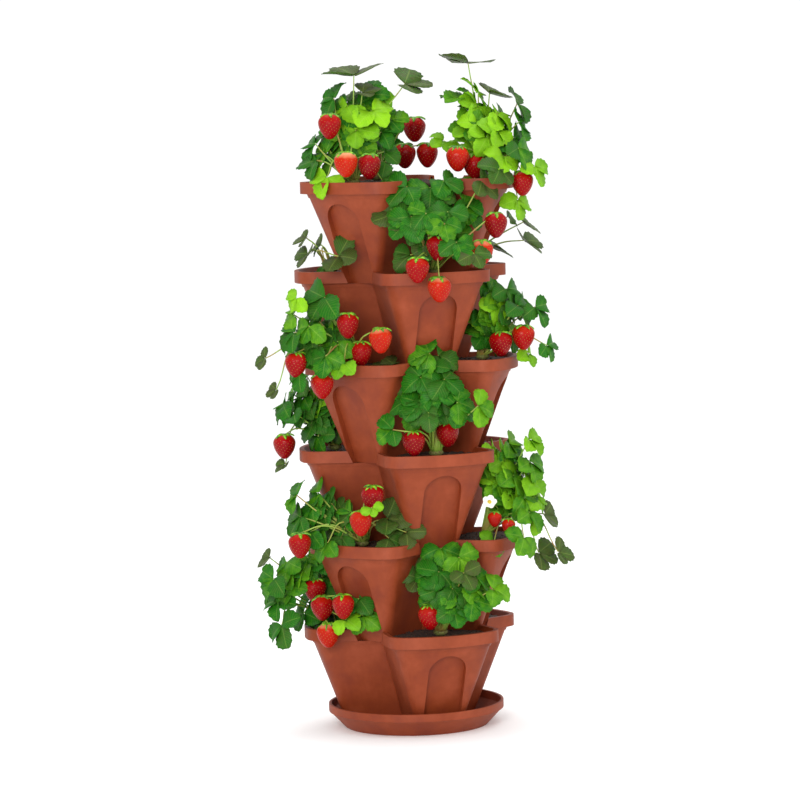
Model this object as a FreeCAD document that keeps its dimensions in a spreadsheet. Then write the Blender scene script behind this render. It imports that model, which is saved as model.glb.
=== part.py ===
import FreeCAD, Part
import Sketcher
import math
import os

# Vertical planter tower: six stacked three-pocket pots on a round saucer, each
# pot turned 60 degrees from the one below, filled with potting mix and
# strawberry plants. Tiers are numbered from the top down. Millimetres, +Z up,
# origin at the centre of the saucer's underside, the front pocket of the
# bottom tier towards -Y.

SIZES = {
    # pot
    "pot_height": 140.0,
    "nest_depth": 17.0,
    "tip_reach_base": 97.5,
    "tip_reach_top": 148.8,
    "half_width_base": 30.0,
    "half_width_top": 74.8,
    "root_half_width_base": 22.0,
    "root_half_width_top": 60.5,
    "corner_radius_base": 10.0,
    "corner_radius_top": 23.0,
    "front_radius_base": 100.0,
    "front_radius_top": 146.0,
    "pot_wall": 2.5,
    "pot_floor": 3.0,
    "lip_height": 16.0,
    "lip_overhang": 3.8,
    "lip_wall": 2.0,
    "collar_height": 6.0,
    "collar_proud": 1.2,
    "notch_clearance": 0.5,
    "niche_width": 54.0,
    "niche_apex_drop": 26.0,
    "niche_depth_base": 16.0,
    "niche_depth_apex": 10.0,
    "drain_diameter": 9.0,
    "drain_reach": 58.0,
    # potting mix
    "mix_gap": 0.3,
    "mix_side_gap": 1.0,
    "mix_drop": 6.0,
    # saucer
    "saucer_foot_radius": 99.0,
    "saucer_rim_radius": 121.5,
    "saucer_height": 33.0,
    "saucer_wall": 2.5,
    "saucer_floor": 3.0,
    "saucer_band_height": 11.0,
    "saucer_band_proud": 1.5,
    # plants
    "crown_reach": 105.0,
    "crown_radius": 10.0,
    "crown_height": 12.0,
    "petiole_radius": 1.3,
    "leaflet_length": 30.0,
    "leaflet_width": 24.0,
    "leaf_thickness": 1.2,
    "leaf_tilt": 52.0,
    "berry_length": 34.0,
    "berry_radius": 15.5,
    "berry_gap": 0.2,
    "petal_length": 9.0,
}
TIERS = 6
LOBES = 3
LOBE_STEP = 360.0 / LOBES
FRONT = -90.0
CUT_MARGIN = 2.0

doc = FreeCAD.newDocument("planter_tower")
sheet = doc.addObject("Spreadsheet::Sheet", "Sizes")
for row, (alias, number) in enumerate(SIZES.items(), start=1):
    sheet.set("A%d" % row, alias)
    sheet.set("B%d" % row, str(number))
    sheet.setAlias("B%d" % row, alias)
doc.recompute()


def value(expression):
    return float(sheet.evalExpression(expression))


def size(alias):
    return float(sheet.get(alias))


def vec(x, y, z):
    return FreeCAD.Vector(x, y, z)


def turned(angle, height=0.0):
    return FreeCAD.Placement(vec(0, 0, height), FreeCAD.Rotation(vec(0, 0, 1), angle))


def plane_of(body, role):
    return next(f for f in body.Origin.OriginFeatures if f.Role == role)


def sketch_on(body, role, name):
    sketch = body.newObject("Sketcher::SketchObject", name)
    sketch.AttachmentSupport = (plane_of(body, role), [""])
    sketch.MapMode = "FlatFace"
    return sketch


def bind(sketch, label, constraint, expression):
    index = sketch.addConstraint(constraint)
    sketch.renameConstraint(index, label)
    sketch.setExpression("Constraints." + label, expression)


START, END, CENTRE = 1, 2, 3
H_AXIS, V_AXIS = -1, -2


# Lobed forms: one lobe between two plan outlines, repeated round the axis

def lobe_outline(body, name, height, grow, level):
    """Outline of one lobe, from the pot's axis to its bowed front.

    height is where the pot's sloping wall is taken, grow the offset outwards
    from it and level where the outline lies: all three are expressions.
    """
    def grown(alias):
        base, top = "Sizes.%s_base" % alias, "Sizes.%s_top" % alias
        return "%s + (%s - %s) * (%s) / Sizes.pot_height + (%s)" % (base, top, base, height, grow)

    reach, half, root = grown("tip_reach"), grown("half_width"), grown("root_half_width")
    corner, front = grown("corner_radius"), grown("front_radius")
    r_corner, r_front = value(corner), value(front)
    y_root = value(root)
    y_corner = value(half) - r_corner
    x_front = value(reach) - r_front
    x_corner = x_front + math.sqrt((r_front - r_corner) ** 2 - y_corner ** 2)
    rise = y_corner - y_root
    slope = math.atan2(rise, x_corner) + math.asin(r_corner / math.hypot(x_corner, rise))
    swing = math.atan2(y_corner, x_corner - x_front)
    side_x = x_corner - r_corner * math.sin(slope)
    side_y = y_corner + r_corner * math.cos(slope)
    up = vec(0, 0, 1)
    square = math.pi / 2 + slope

    sketch = sketch_on(body, "XY_Plane", name)
    sketch.addGeometry([
        Part.LineSegment(vec(0, y_root, 0), vec(0, -y_root, 0)),
        Part.LineSegment(vec(0, -y_root, 0), vec(side_x, -side_y, 0)),
        Part.ArcOfCircle(Part.Circle(vec(x_corner, -y_corner, 0), up, r_corner), -square, -swing),
        Part.ArcOfCircle(Part.Circle(vec(x_front, 0, 0), up, r_front), -swing, swing),
        Part.ArcOfCircle(Part.Circle(vec(x_corner, y_corner, 0), up, r_corner), swing, square),
        Part.LineSegment(vec(side_x, side_y, 0), vec(0, y_root, 0)),
    ], False)
    root_line, low_side, low_corner, bow, high_corner, high_side = range(6)
    rule = Sketcher.Constraint
    sketch.addConstraint([
        rule("Coincident", root_line, END, low_side, START),
        rule("Tangent", low_side, END, low_corner, START),
        rule("Tangent", low_corner, END, bow, START),
        rule("Tangent", bow, END, high_corner, START),
        rule("Tangent", high_corner, END, high_side, START),
        rule("Coincident", high_side, END, root_line, START),
        rule("PointOnObject", root_line, START, V_AXIS),
        rule("Symmetric", root_line, START, root_line, END, H_AXIS),
        rule("PointOnObject", bow, CENTRE, H_AXIS),
        rule("Equal", low_corner, high_corner),
    ])
    bind(sketch, "root", rule("DistanceY", H_AXIS, START, root_line, START, y_root), root)
    bind(sketch, "front", rule("Radius", bow, r_front), front)
    bind(sketch, "corner", rule("Radius", high_corner, r_corner), corner)
    bind(sketch, "width", rule("DistanceY", H_AXIS, START, high_corner, CENTRE, y_corner),
         "%s - (%s)" % (half, corner))
    sketch.addGeometry(Part.Point(vec(value(reach), 0, 0)), True)
    tip = 6
    sketch.addConstraint([
        rule("PointOnObject", tip, START, H_AXIS),
        rule("PointOnObject", tip, START, bow),
    ])
    bind(sketch, "reach", rule("DistanceX", H_AXIS, START, tip, START, value(reach)), reach)
    sketch.setExpression("AttachmentOffset.Base.z", level)
    return sketch


def round_the_axis(body, feature):
    """Repeats a body's feature for each lobe."""
    ring = body.newObject("PartDesign::PolarPattern", feature.Name + "_ring")
    ring.Originals = [feature]
    ring.Axis = (plane_of(body, "Z_Axis"), [""])
    ring.Angle = 360
    ring.Occurrences = LOBES
    body.Tip = ring
    return body


def lobed_form(name, grow, low, high, upright=False):
    """The pot's form from level low to level high, grown by an expression."""
    body = doc.addObject("PartDesign::Body", name)
    sections = []
    for place, level in (("low", low), ("high", high)):
        height = "Sizes.pot_height" if upright else level
        sections.append(lobe_outline(body, "%s_%s" % (name, place), height, grow, level))
    loft = body.newObject("PartDesign::AdditiveLoft", name + "_loft")
    loft.Profile = sections[0]
    loft.Sections = [sections[1]]
    loft.Ruled = True
    return round_the_axis(body, loft)


# Niches: an arched recess in each lobe's front, leaning outwards

NICHE_RUN = "(Sizes.pot_height - Sizes.niche_apex_drop)"
NICHE_FOOT = "(Sizes.tip_reach_base - Sizes.niche_depth_base)"
NICHE_HEAD = ("(Sizes.tip_reach_base + (Sizes.tip_reach_top - Sizes.tip_reach_base) * %s"
              " / Sizes.pot_height - Sizes.niche_depth_apex)" % NICHE_RUN)
NICHE_LEAN = "atan((%s - %s) / %s)" % (NICHE_HEAD, NICHE_FOOT, NICHE_RUN)


def niche_form(name, grow):
    """Arched recess grown by an expression, as a solid on every lobe."""
    body = doc.addObject("PartDesign::Body", name)
    sketch = sketch_on(body, "YZ_Plane", name + "_arch")
    half = "(Sizes.niche_width / 2 + %s)" % grow
    apex = "(%s / cos(%s) + %s)" % (NICHE_RUN, NICHE_LEAN, grow)
    foot = "(Sizes.pot_floor + Sizes.niche_depth_base)"
    radius, spring, drop = value(half), value(apex) - value(half), value(foot)
    sketch.addGeometry([
        Part.LineSegment(vec(-radius, -drop, 0), vec(radius, -drop, 0)),
        Part.LineSegment(vec(radius, -drop, 0), vec(radius, spring, 0)),
        Part.ArcOfCircle(Part.Circle(vec(0, spring, 0), vec(0, 0, 1), radius), 0, math.pi),
        Part.LineSegment(vec(-radius, spring, 0), vec(-radius, -drop, 0)),
    ], False)
    sill, right, arch, left = range(4)
    rule = Sketcher.Constraint
    sketch.addConstraint([
        rule("Coincident", sill, END, right, START),
        rule("Tangent", right, END, arch, START),
        rule("Tangent", arch, END, left, START),
        rule("Coincident", left, END, sill, START),
        rule("Horizontal", sill),
        rule("Vertical", right),
        rule("PointOnObject", arch, CENTRE, V_AXIS),
    ])
    bind(sketch, "radius", rule("Radius", arch, radius), half)
    bind(sketch, "spring", rule("DistanceY", H_AXIS, START, arch, CENTRE, spring),
         "%s - %s" % (apex, half))
    bind(sketch, "drop", rule("DistanceY", sill, START, H_AXIS, START, drop), foot)
    reach = "%s - (%s) / cos(%s)" % (NICHE_FOOT, grow, NICHE_LEAN)
    lean = FreeCAD.Rotation(vec(1, 0, 0), value(NICHE_LEAN))
    sketch.AttachmentOffset = FreeCAD.Placement(vec(0, 0, value(reach)), lean)
    sketch.setExpression("AttachmentOffset.Base.z", reach)
    sketch.setExpression("AttachmentOffset.Rotation.Angle", NICHE_LEAN)
    pad = body.newObject("PartDesign::Pad", name + "_pad")
    pad.Profile = sketch
    pad.setExpression("Length", "Sizes.tip_reach_top - Sizes.niche_depth_base")
    return round_the_axis(body, pad)


def cylinder(name, radius, height, level="0 mm", reach="0 mm"):
    made = doc.addObject("Part::Cylinder", name)
    made.setExpression("Radius", radius)
    made.setExpression("Height", height)
    made.setExpression("Placement.Base.z", level)
    made.setExpression("Placement.Base.x", reach)
    return made


def cut(name, base, tool):
    made = doc.addObject("Part::Cut", name)
    made.Base = base
    made.Tool = tool
    return made


def common(name, base, tool):
    made = doc.addObject("Part::Common", name)
    made.Base = base
    made.Tool = tool
    return made


def fuse(name, shapes):
    made = doc.addObject("Part::MultiFuse", name)
    made.Shapes = shapes
    return made


# Forms that every tier's pot shares

PITCH = "(Sizes.pot_height - Sizes.nest_depth)"
RIM = "Sizes.pot_height"
LIP_FOOT = "(Sizes.pot_height - Sizes.lip_height)"

outside = lobed_form("outside", "0", "0", RIM)
lip_block = lobed_form("lip_block", "Sizes.lip_overhang", LIP_FOOT, RIM, upright=True)
lip_hollow = lobed_form("lip_hollow", "Sizes.lip_overhang - Sizes.lip_wall",
                        LIP_FOOT, "Sizes.pot_height - Sizes.lip_wall", upright=True)
collar = lobed_form("collar", "Sizes.collar_proud", LIP_FOOT + " - Sizes.collar_height", LIP_FOOT)
cavity = lobed_form("cavity", "-Sizes.pot_wall", "Sizes.pot_floor", "%s + %g" % (RIM, CUT_MARGIN))
niche = niche_form("niche", "0")
niche_backing = niche_form("niche_backing", "Sizes.pot_wall")

lip = cut("lip", lip_block, lip_hollow)
walled = cut("walled", fuse("walled_block", [outside, lip, collar]), cavity)
niche_wall = common("niche_wall", niche_backing, outside)
recessed = cut("recessed", fuse("backed", [walled, niche_wall]), niche)

# Each junction between two lobes is notched for the foot of the pot above
foot_space = lobed_form("foot_space", "Sizes.notch_clearance", "0", RIM)
foot_space.Placement = turned(LOBE_STEP / 2, value(PITCH))
foot_space.setExpression("Placement.Base.z", PITCH)
notched = cut("notched", recessed, foot_space)

drains = []
for lobe in range(LOBES):
    hole = cylinder("drain_%d" % lobe, "Sizes.drain_diameter / 2",
                    "Sizes.pot_floor * 3", "-Sizes.pot_floor")
    turn = math.radians(lobe * LOBE_STEP)
    hole.setExpression("Placement.Base.x", "Sizes.drain_reach * %.6f" % math.cos(turn))
    hole.setExpression("Placement.Base.y", "Sizes.drain_reach * %.6f" % math.sin(turn))
    drains.append(hole)
drains.append(cylinder("drain_middle", "Sizes.drain_diameter / 2",
                       "Sizes.pot_floor * 3", "-Sizes.pot_floor"))
drain_holes = fuse("drain_holes", drains)

# Potting mix fills the cavity, clear of the walls and of the foot above
MIX_TOP = "(Sizes.pot_height - Sizes.mix_drop)"
mix_full = lobed_form("mix_full", "-Sizes.pot_wall - Sizes.mix_side_gap",
                      "Sizes.pot_floor + Sizes.mix_gap", MIX_TOP)
mix_keep_out = niche_form("mix_keep_out", "(Sizes.pot_wall + Sizes.mix_side_gap)")
foot_print = lobed_form("foot_print", "Sizes.mix_side_gap", "0", RIM)
foot_print.Placement = turned(LOBE_STEP / 2, value(PITCH) - size("mix_gap"))
foot_print.setExpression("Placement.Base.z", "%s - Sizes.mix_gap" % PITCH)
mix_pressed = cut("mix_pressed", mix_full, foot_print)


# Saucer

def saucer():
    body = doc.addObject("PartDesign::Body", "saucer")
    sketch = sketch_on(body, "XZ_Plane", "saucer_profile")
    neck = "Sizes.saucer_rim_radius - Sizes.saucer_band_proud"
    sill = "Sizes.saucer_height - Sizes.saucer_band_height"
    outline = [
        (None, None),
        ("Sizes.saucer_foot_radius", None),
        (neck, sill),
        ("Sizes.saucer_rim_radius", sill),
        ("Sizes.saucer_rim_radius", "Sizes.saucer_height"),
        (neck + " - Sizes.saucer_wall", "Sizes.saucer_height"),
        (neck + " - Sizes.saucer_wall", sill),
        ("Sizes.saucer_foot_radius - Sizes.saucer_wall / 4", "Sizes.saucer_floor"),
        (None, "Sizes.saucer_floor"),
    ]
    points = [vec(value(x) if x else 0, value(y) if y else 0, 0) for x, y in outline]
    for first, second in zip(points, points[1:] + points[:1]):
        sketch.addGeometry(Part.LineSegment(first, second), False)
    rule = Sketcher.Constraint
    for index, (x, y) in enumerate(outline):
        sketch.addConstraint(rule("Coincident", index, END, (index + 1) % len(outline), START))
        if x is None:
            sketch.addConstraint(rule("PointOnObject", index, START, V_AXIS))
        else:
            place = rule("DistanceX", H_AXIS, START, index, START, points[index].x)
            bind(sketch, "x%d" % index, place, x)
        if y is None:
            sketch.addConstraint(rule("PointOnObject", index, START, H_AXIS))
        else:
            place = rule("DistanceY", H_AXIS, START, index, START, points[index].y)
            bind(sketch, "y%d" % index, place, y)
    turn = body.newObject("PartDesign::Revolution", "saucer_turned")
    turn.Profile = sketch
    turn.ReferenceAxis = (sketch, ["V_Axis"])
    turn.Angle = 360
    return body


# Plants. Every place is (side, out, up) in millimetres from the point over the
# pocket's crown at the height of the pot's rim: side is level and to the
# right for someone who faces the pocket from outside, out is away from the
# tower's axis. A fourth number scales that leaf or berry.

PLANTS = {
    (1, "left"): {
        "leaves": [(-33, 45, 143), (-4, 10, 146), (20, -25, 148), (-1, 35, 112), (-11, 50, 91),
                   (23, 0, 91), (63, -10, 87), (-33, 50, 57), (30, 40, 50), (53, 15, 48),
                   (-8, 62, 12), (70, 20, 23)],
        "berries": [(0, 45, 75), (30, 48, 24), (47, 20, 20)],
    },
    (1, "right"): {
        "leaves": [(-20, -27, 118), (-45, -2, 98), (0, 17, 118), (-10, 53, 98), (-25, 7, 78),
                   (-55, -21, 78), (-30, 36, 71), (-5, 59, 64), (-15, 54, 30), (-50, 25, 44),
                   (-20, 69, 8), (-62, -6, 50)],
        "berries": [(-60, -18, 26), (-35, 1, 15), (-22, 64, -10)],
    },
    (1, "rear"): {
        "leaves": [(-25, -30, 135), (-62, -25, 132), (-40, -35, 85), (-4, -10, 105), (-76, -20, 70),
                   (20, 10, 80), (0, 40, 50), (45, 30, 45)],
        "berries": [(-32, -70, 65), (-17, -70, 29), (-50, -70, 29)],
    },
    (2, "front"): {
        "leaves": [(-36, 38, 105), (6, 40, 112), (17, 45, 53), (41, 50, 60), (-59, 32, 63),
                   (-60, 46, 40), (9, 18, 80), (-24, 25, 44), (14, 30, 32), (50, 34, 30)],
        "berries": [(75, 50, 60), (53, 52, 24), (-43, 62, 5), (-14, 66, -22), (-9, 50, 33)],
    },
    (2, "left"): {
        "leaves": [(10, 37, 44, 0.8), (28, 22, 28, 0.7), (0, 5, 52, 0.8), (30, -6, 24, 0.7)],
        "berries": [],
    },
    (2, "right"): {
        "leaves": [(-37, 45, 57), (-78, 62, 50), (-72, 76, 27), (-42, 52, 20)],
        "berries": [],
    },
    (3, "left"): {
        "leaves": [(-27, 32, 76), (-53, 45, 56), (-10, 50, 31), (2, 30, 30), (-30, 60, 20),
                   (18, 52, 12), (-69, 75, 83), (-56, 80, 22), (-32, 84, -20), (-5, 20, 60)],
        "berries": [(29, 52, 54), (27, 25, 14), (-34, 88, 2), (-4, 70, -27), (72, 35, 34)],
    },
    (3, "right"): {
        "leaves": [(-20, 22, 95), (-15, 42, 90), (-5, 63, 79), (-45, 10, 42), (-20, 52, 54),
                   (-30, 68, 8), (-5, 75, 18), (-38, 35, 22)],
        "berries": [(-35, 31, 18), (-25, 61, 26)],
    },
    (3, "rear"): {
        "leaves": [(-30, 35, 60), (30, 35, 70), (0, 50, 40), (-50, 45, 30), (50, 45, 25), (0, 20, 88)],
        "berries": [],
    },
    (4, "left"): {
        "leaves": [(20, 35, 57), (35, 26, 29), (52, 26, 33), (10, 64, 34), (0, 58, 64), (-5, 33, 89),
                   (10, 80, 4)],
        "berries": [(45, 62, 4)],
    },
    (4, "front"): {
        "leaves": [(-24, 28, 137), (2, 32, 130), (-2, 24, 98), (22, 38, 97), (-42, 32, 71),
                   (-82, 45, 34), (-70, 48, 104), (40, 45, 60), (5, 30, 50), (-15, 45, 45)],
        "berries": [(-42, 28, 16), (10, 18, 24)],
    },
    (5, "left"): {
        "leaves": [(-42, 60, 56), (-30, 62, 14), (-56, 75, 74), (-57, 85, 40), (-14, 40, 37),
                   (45, 35, 45), (95, 45, 38), (98, 42, 14), (-33, 45, 84)],
        "berries": [(-40, 84, 2), (39, 48, 33), (48, 32, 66)],
    },
    (5, "right"): {
        "leaves": [(-20, 32, 131), (-5, 48, 138), (-15, 74, 131), (-10, 14, 108), (-25, 42, 104),
                   (-5, 66, 97), (-35, 30, 76), (-15, 54, 70), (-10, 74, 56), (-40, 44, 46),
                   (-20, 64, 28), (-32, 72, -18), (-10, 92, -14), (0, 86, 34)],
        "berries": [(-55, 20, 26, 0.62), (-55, 39, 16, 0.62)],
        "blossom": (-60, 14, 50),
    },
    (5, "rear"): {
        "leaves": [(30, 35, 60), (-30, 35, 70), (0, 50, 40), (50, 45, 30), (-50, 45, 25), (0, 20, 88)],
        "berries": [],
    },
    (6, "left"): {
        "leaves": [(20, 28, 89), (14, 34, 112), (138, -55, 42), (124, -40, 8), (62, 36, 58),
                   (10, 100, 100), (30, 76, 82), (0, 54, 95), (20, 92, 54), (45, 60, 42),
                   (15, 44, 68), (40, 70, 20), (62, 52, 10)],
        "berries": [(60, 22, 52), (86, 7, 31), (120, -29, 38), (95, -2, -5)],
    },
    (6, "front"): {
        "leaves": [(-2, 30, 112), (18, 42, 96), (-14, 20, 82), (42, 45, 56), (66, 55, 63),
                   (-5, 32, 50), (12, 42, 28), (40, 30, 32)],
        "berries": [(-24, 24, 24)],
    },
}
LEAF_SCALES = (0.9, 1.0, 1.12)
LEAFLET_SPREAD = 86.0
STALK_SIDES = 8
STALK_SPANS = 5
ROUND_SIDES = 12
FLOWER_LEAN = math.radians(58)
POCKETS = {"front": 0, "left": -LOBE_STEP, "right": LOBE_STEP}
ODD_POCKETS = {"left": -LOBE_STEP / 2, "right": LOBE_STEP / 2, "rear": 180.0}


def pocket_angle(tier, pocket):
    """Direction of a pocket, in degrees from +X."""
    return FRONT + (ODD_POCKETS if tier % 2 else POCKETS)[pocket]


def tier_height(tier):
    return "Sizes.saucer_floor + %d * %s" % (TIERS - tier, PITCH)


def place_of(side, out, up):
    return vec(size("crown_reach") + out, side, size("pot_height") + up)


def own_scale(spot, usual=1.0):
    return spot[3] if len(spot) > 3 else usual


def flat_face(corners):
    return Part.Face(Part.makePolygon(corners + corners[:1]))


def faceted(rings):
    """Solid of flat faces between rings that have the same number of corners."""
    faces = [flat_face(rings[0]), flat_face(rings[-1])]
    for near, far in zip(rings, rings[1:]):
        for index in range(len(near)):
            faces.append(flat_face([near[index - 1], near[index], far[index], far[index - 1]]))
    solid = Part.Solid(Part.Shell(faces))
    if solid.Volume < 0:
        solid.reverse()
    return solid


def ring_of(sides, centre, first, second):
    """Corners about a centre; first and second are the ring's two half axes."""
    corners = []
    for index in range(sides):
        turn = 2 * math.pi * (index + 0.5) / sides
        corners.append(centre + first * math.cos(turn) + second * math.sin(turn))
    return corners


def stalk(start, end, rise):
    """Stalk along one arc that rises from the crown and bends over."""
    middle = (start + end) * 0.5 + vec(0.28 * abs(end.y), 0, rise)
    arc = Part.Arc(start, middle, end).toShape()
    radius = size("petiole_radius")
    level = (middle - start).cross(end - start).normalize() * radius
    rings = []
    for point in arc.discretize(STALK_SPANS + 1):
        outward = (point - arc.Curve.Center).normalize() * radius
        rings.append(ring_of(STALK_SIDES, point, level, outward))
    return faceted(rings)


def leaf_frame(place):
    """Directions along, across and square to a leaf that faces up and outwards."""
    away = vec(place.x, place.y, 0).normalize()
    spread = vec(place.x - size("crown_reach"), place.y, 0)
    spread = spread.normalize() if spread.Length > 1 else away
    tilt = math.radians(size("leaf_tilt"))
    normal = (vec(0, 0, math.cos(tilt)) + away * math.sin(tilt) + spread * 0.25).normalize()
    along = (spread - normal * spread.dot(normal)).normalize()
    return along, normal.cross(along), normal


def beside_berries(place, berries):
    """Moves a leaf along its own normal until its plate clears each berry."""
    for spot in berries:
        along, across, normal = leaf_frame(place)
        offset = place - place_of(*spot[:3])
        room = 1.1 * size("berry_radius") * own_scale(spot) + size("leaf_thickness")
        beside = offset.dot(normal)
        level = (offset - normal * beside).Length
        if abs(beside) < room and level < size("leaflet_length") + room:
            place = place + normal * (math.copysign(room, beside) - beside)
    return place


def leaf(place, scale):
    """Three leaflets in one plate, its face turned up and away from the axis."""
    length, width = size("leaflet_length") * scale, size("leaflet_width") * scale
    thick = size("leaf_thickness")
    half = [(0.12, 0.06), (0.55, 0.5), (0.87, 0.34)]
    outline = [(x, -y) for x, y in half] + [(1, 0)] + half[::-1]
    points = []
    for turn in (-LEAFLET_SPREAD, 0, LEAFLET_SPREAD):
        spin = FreeCAD.Rotation(vec(0, 0, 1), turn)
        points += [spin.multVec(vec(x * length, y * width, -thick / 2)) for x, y in outline]
    plate = Part.Face(Part.makePolygon(points + points[:1])).extrude(vec(0, 0, thick))
    along, across, normal = leaf_frame(place)
    plate.Placement = FreeCAD.Placement(place, FreeCAD.Rotation(along, across, normal, "XYZ"))
    return plate


def plant_shape(plan):
    """Crown, stalks, leaves and fruit stalks of one plant as one solid."""
    foot = vec(size("crown_reach"), 0, value(MIX_TOP))
    radius, height = size("crown_radius"), size("crown_height")
    pieces, ends = [], []
    for index, spot in enumerate(plan["leaves"]):
        ends.append(beside_berries(place_of(*spot[:3]), plan["berries"]))
        usual = LEAF_SCALES[index % len(LEAF_SCALES)]
        pieces.append(leaf(ends[-1], own_scale(spot, usual)))
    for spot in plan["berries"]:
        top = size("berry_length") * own_scale(spot) / 2
        ends.append(place_of(*spot[:3]) + vec(0, 0, top))
    if "blossom" in plan:
        ends.append(place_of(*plan["blossom"]))

    # The stalks leave the crown side by side, in the order of their directions
    ends.sort(key=lambda end: math.atan2(end.y, end.x - foot.x))
    step = 2 * math.pi / len(ends)
    lag = sum(math.atan2(end.y, end.x - foot.x) for end in ends) / len(ends)
    for index, end in enumerate(ends):
        turn = lag + step * (index - (len(ends) - 1) / 2)
        start = foot + vec(math.cos(turn), math.sin(turn), 0) * (0.68 * radius)
        low = max(0, size("pot_height") + 30 - end.z)
        pieces.append(stalk(start + vec(0, 0, 0.7 * height), end, 10 + 0.7 * low))
    crown = upright_rings(foot, [(radius, 0), (0.8 * radius, height)])
    plant = crown.multiFuse(pieces)
    if len(plant.Solids) != 1 or not plant.isValid():
        plant = crown
        for piece in pieces:
            plant = plant.fuse(piece)
    for spot in plan["berries"]:
        plant = plant.cut(berry_room(spot))
    return max(plant.Solids, key=lambda solid: solid.Volume)


def upright_rings(foot, profile):
    """Faceted solid about a vertical axis through (radius, height) pairs."""
    rings = []
    for radius, height in profile:
        centre = foot + vec(0, 0, height)
        rings.append(ring_of(ROUND_SIDES, centre, vec(radius, 0, 0), vec(0, radius, 0)))
    return faceted(rings)


def berry_room(spot):
    """The space kept clear for a berry: just over its top, wider at its sides."""
    length = size("berry_length") * own_scale(spot)
    radius = size("berry_radius") * own_scale(spot) / math.cos(math.pi / ROUND_SIDES)
    side = [(0.64, 0), (0.98, -0.05), (1.06, -0.25), (1.06, -0.43), (0.9, -0.7), (0.5, -0.98),
            (0.2, -1.03)]
    top = place_of(*spot[:3]) + vec(0, 0, length / 2)
    profile = [(x * radius, z * length) for x, z in side]
    return upright_rings(top, [(profile[0][0], size("berry_gap"))] + profile[1:])


def berry_shape(spot):
    """A broad-shouldered cone hanging point down below its stalk."""
    length = size("berry_length") * own_scale(spot)
    radius = size("berry_radius") * own_scale(spot)
    side = [(0.3, 0), (0.86, -0.1), (1, -0.34), (0.78, -0.68), (0.4, -0.93), (0.12, -1)]
    profile = Part.BSplineCurve()
    profile.interpolate([vec(x * radius, 0, z * length) for x, z in side])
    top, point = vec(0, 0, 0), vec(0, 0, -length)
    edges = [
        Part.makeLine(top, profile.StartPoint),
        profile.toShape(),
        Part.makeLine(profile.EndPoint, point),
        Part.makeLine(point, top),
    ]
    berry = Part.Face(Part.Wire(edges)).revolve(vec(0, 0, 0), vec(0, 0, 1), 360)
    berry.translate(place_of(*spot[:3]) + vec(0, 0, length / 2))
    return berry


def blossom_shape(spot):
    """Five round petals about a small disc, facing up and away from the crown."""
    petal = size("petal_length")
    thick = size("leaf_thickness")
    pieces = []
    for index in range(5):
        turn = math.radians(72 * index)
        centre = vec(0.62 * petal * math.cos(turn), 0.62 * petal * math.sin(turn), 0)
        pieces.append(Part.makeCylinder(0.5 * petal, thick, centre))
    flower = Part.makeCylinder(0.3 * petal, 2 * thick).multiFuse(pieces)
    place = place_of(*spot)
    facing = vec(place.x - size("crown_reach"), place.y, 0).normalize()
    facing = (facing * math.sin(FLOWER_LEAN) + vec(0, 0, math.cos(FLOWER_LEAN))).normalize()
    seat = place + facing * (0.8 * size("petiole_radius") + size("berry_gap"))
    flower.Placement = FreeCAD.Placement(seat, FreeCAD.Rotation(vec(0, 0, 1), facing))
    return Part.makeCompound([flower])


def feature(name, shape, angle, height):
    made = doc.addObject("Part::Feature", name)
    made.Shape = shape
    made.Placement = turned(angle, value(height))
    return made


nodes = {"saucer": saucer()}
for tier in range(1, TIERS + 1):
    height = tier_height(tier)
    turn = FRONT + (LOBE_STEP / 2 if tier % 2 else 0)
    pot = cut("pot_tier_%d" % tier, notched, drain_holes)
    mix = cut("potting_mix_tier_%d" % tier, mix_full if tier == 1 else mix_pressed, mix_keep_out)
    for made in (pot, mix):
        made.Placement = turned(turn, value(height))
        made.setExpression("Placement.Base.z", height)
        nodes[made.Name] = made
for (tier, pocket), plan in PLANTS.items():
    where = "tier_%d_%s" % (tier, pocket)
    angle, height = pocket_angle(tier, pocket), tier_height(tier)
    name = "strawberry_plant_" + where
    nodes[name] = feature(name, plant_shape(plan), angle, height)
    if plan["berries"]:
        name = "strawberries_" + where
        fruit = Part.makeCompound([berry_shape(spot) for spot in plan["berries"]])
        nodes[name] = feature(name, fruit, angle, height)
    if "blossom" in plan:
        name = "blossom_" + where
        nodes[name] = feature(name, blossom_shape(plan["blossom"]), angle, height)

doc.recompute()
for made in doc.Objects:
    if "Invalid" in made.State or "Error" in made.State:
        raise RuntimeError("%s failed: %s" % (made.Label, made.State))
os.makedirs("parts", exist_ok=True)
for name, made in nodes.items():
    made.Label = name
    if made.Shape.isNull() or not made.Shape.isValid() or not made.Shape.Solids:
        raise RuntimeError("%s has no valid shape" % name)
    made.Shape.exportStep("parts/%s.step" % name)
    print("%-34s %2d solid(s) %10.0f mm3" % (name, len(made.Shape.Solids), made.Shape.Volume))
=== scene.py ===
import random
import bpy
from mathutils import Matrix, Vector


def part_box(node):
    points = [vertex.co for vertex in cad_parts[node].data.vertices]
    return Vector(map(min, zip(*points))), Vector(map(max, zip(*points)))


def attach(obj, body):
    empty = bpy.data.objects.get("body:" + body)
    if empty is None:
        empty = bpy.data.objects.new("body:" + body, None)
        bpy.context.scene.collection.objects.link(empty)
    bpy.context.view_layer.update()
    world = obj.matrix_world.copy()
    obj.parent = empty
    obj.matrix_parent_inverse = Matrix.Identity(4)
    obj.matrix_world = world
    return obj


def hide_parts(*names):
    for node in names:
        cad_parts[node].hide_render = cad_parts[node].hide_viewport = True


bl_info = {
    "name": "Strawberry Planter Tower",
    "version": (1, 0, 0),
    "blender": (4, 5, 0),
    "location": "3D View > Sidebar > Planter Tower",
    "description": "Dresses the tower: moulded pots, potting mix, strawberry plants and fruit",
    "category": "Add Mesh",
}

from collections import namedtuple
from math import acos, atan2, copysign, cos, pi, radians, sin, sqrt

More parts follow.
